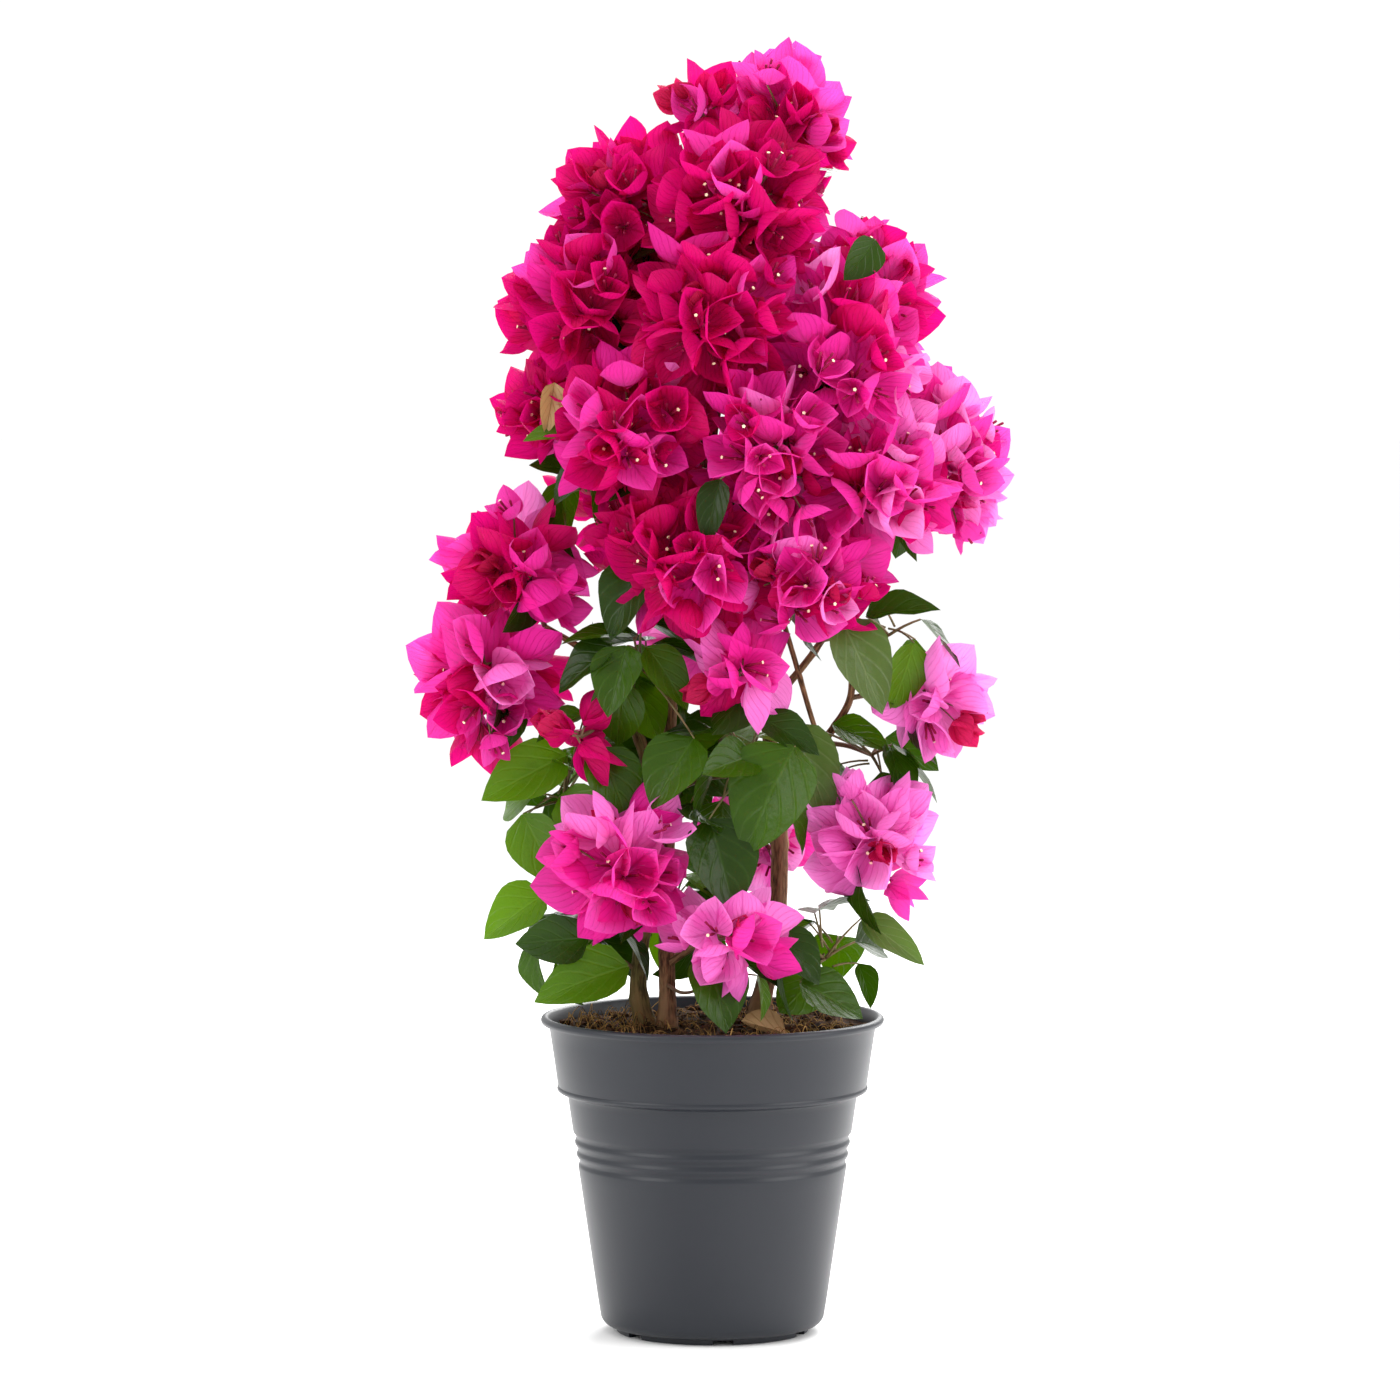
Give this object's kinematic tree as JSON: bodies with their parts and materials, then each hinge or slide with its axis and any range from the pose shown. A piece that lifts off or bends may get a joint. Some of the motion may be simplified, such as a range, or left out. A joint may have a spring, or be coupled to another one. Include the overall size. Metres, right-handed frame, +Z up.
{
  "type": "potted bougainvillea",
  "caption": "Bougainvillea shrub in full bloom: woody stems rise from a ribbed plastic nursery pot into a tall, dense crown of papery magenta bracts over hanging green leaves.",
  "frame": {"origin": "centre of the pot's flat underside, which is the base mount", "axes": "+Z up along the plant's height, -Y towards the front of the plant, +X to its right seen from the front"},
  "size_m": [0.3143, 0.1971, 0.7129],
  "materials": {
    "pot_plastic": "dark anthracite moulded plastic, satin",
    "potting_soil": "dark brown fibrous peat",
    "bark": "brown woody bark with fine lengthwise grain",
    "bracts": "papery magenta bracts, thin and slightly translucent",
    "leaves": "glossy dark green leaf"
  },
  "bodies": {
    "root": {"pot": "pot_plastic", "potting_soil": "potting_soil", "stem_left": "bark", "stem_centre": "bark", "stem_right": "bark", "bough_top": "bark", "bough_upper_left": "bark", "bough_left": "bark", "bough_front": "bark", "bough_right": "bark", "bough_far_right": "bark", "bough_front_low": "bark", "bough_back": "bark", "bough_left_spray": "bark", "bough_arching": "bark", "bough_diagonal": "bark", "bough_pendant": "bark", "bough_low_front": "bark", "bloom_tip_right": "bracts", "bloom_tip_left": "bracts", "bloom_upper_front": "bracts", "bloom_upper_left": "bracts", "bloom_left": "bracts", "bloom_centre": "bracts", "bloom_right_upper": "bracts", "bloom_right": "bracts", "bloom_left_low": "bracts", "bloom_front_left": "bracts", "bloom_front": "bracts", "bloom_right_low": "bracts", "bloom_far_right": "bracts", "bloom_low_left": "bracts", "bloom_low_right": "bracts", "hanging_spray": "bracts", "left_spray_upper": "bracts", "left_spray_lower": "bracts", "left_sprig": "bracts", "right_spray": "bracts", "right_low_spray": "bracts", "left_low_spray": "bracts", "front_low_spray": "bracts", "bloom_back_top": "bracts", "bloom_back_left": "bracts", "bloom_back_right": "bracts", "bloom_back_low_left": "bracts", "bloom_back_low_right": "bracts", "back_spray": "bracts", "back_low_spray": "bracts", "leaves_upper_left": "leaves", "leaves_left_upper": "leaves", "leaves_centre": "leaves", "leaves_left": "leaves", "leaves_right": "leaves", "leaves_low_left": "leaves", "leaves_low_right": "leaves", "leaves_front_low": "leaves", "leaves_right_upper": "leaves", "leaves_back": "leaves", "leaves_back_low": "leaves"}
  },
  "joints": []
}
